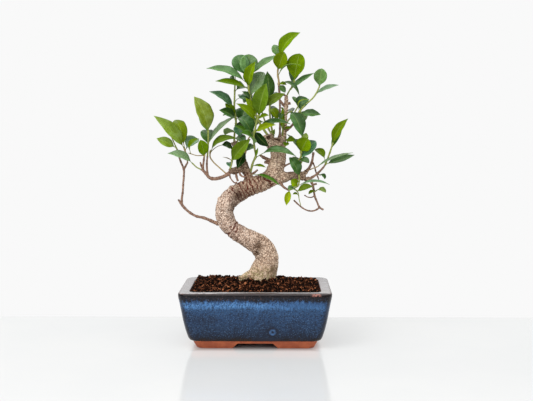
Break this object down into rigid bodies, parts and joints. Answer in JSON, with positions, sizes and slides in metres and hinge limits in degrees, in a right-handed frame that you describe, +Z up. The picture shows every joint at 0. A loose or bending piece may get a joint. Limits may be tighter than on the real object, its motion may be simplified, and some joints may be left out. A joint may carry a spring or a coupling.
{
  "type": "potted bonsai",
  "caption": "Small ficus bonsai with an S-shaped trunk and glossy oval leaves, planted in a glazed rectangular ceramic pot with a bare clay foot.",
  "frame": {"origin": "centre of the pot's foot, on the surface that the pot stands on", "axes": "+Z up, +X to the right along the pot's long side as seen from the front, +Y towards the back"},
  "size_m": [0.2046, 0.106, 0.3164],
  "materials": {
    "glazed_clay": "speckled blue glaze, glossy, thin and brown where it breaks over the edges; unglazed terracotta foot",
    "plastic_net": "matt black drainage net",
    "potting_soil": "dark brown crumbly peat soil",
    "bark": "pale grey-brown bark, flecked with small raised pores and creased in rings",
    "foliage": "leathery leaves, glossy above with a pale midrib, duller below"
  },
  "bodies": {
    "root": {"pot": "glazed_clay", "drain_mesh_left": "plastic_net", "drain_mesh_right": "plastic_net", "soil": "potting_soil", "trunk": "bark", "shoot_far_left": "foliage", "shoot_left_fork": "foliage", "shoot_left_low": "foliage", "shoot_left_tall": "foliage", "shoot_left_front": "foliage", "shoot_left_arching": "foliage", "shoot_left_stump": "foliage", "shoot_centre_low": "foliage", "shoot_back_left": "foliage", "shoot_centre_top": "foliage", "shoot_front_centre": "foliage", "shoot_centre_back": "foliage", "shoot_crown": "foliage", "shoot_crown_right": "foliage", "shoot_middle": "foliage", "shoot_right_low_leaf": "foliage", "shoot_right_hanging": "foliage", "shoot_right_top": "foliage", "shoot_right_inner": "foliage", "shoot_front_low": "foliage", "shoot_right_long": "foliage", "shoot_right_tip": "foliage", "shoot_right_leaflet": "foliage", "shoot_hanging": "foliage", "shoot_rear_left": "foliage", "shoot_rear_centre": "foliage", "shoot_rear_right": "foliage", "shoot_rear_low": "foliage"}
  },
  "joints": []
}
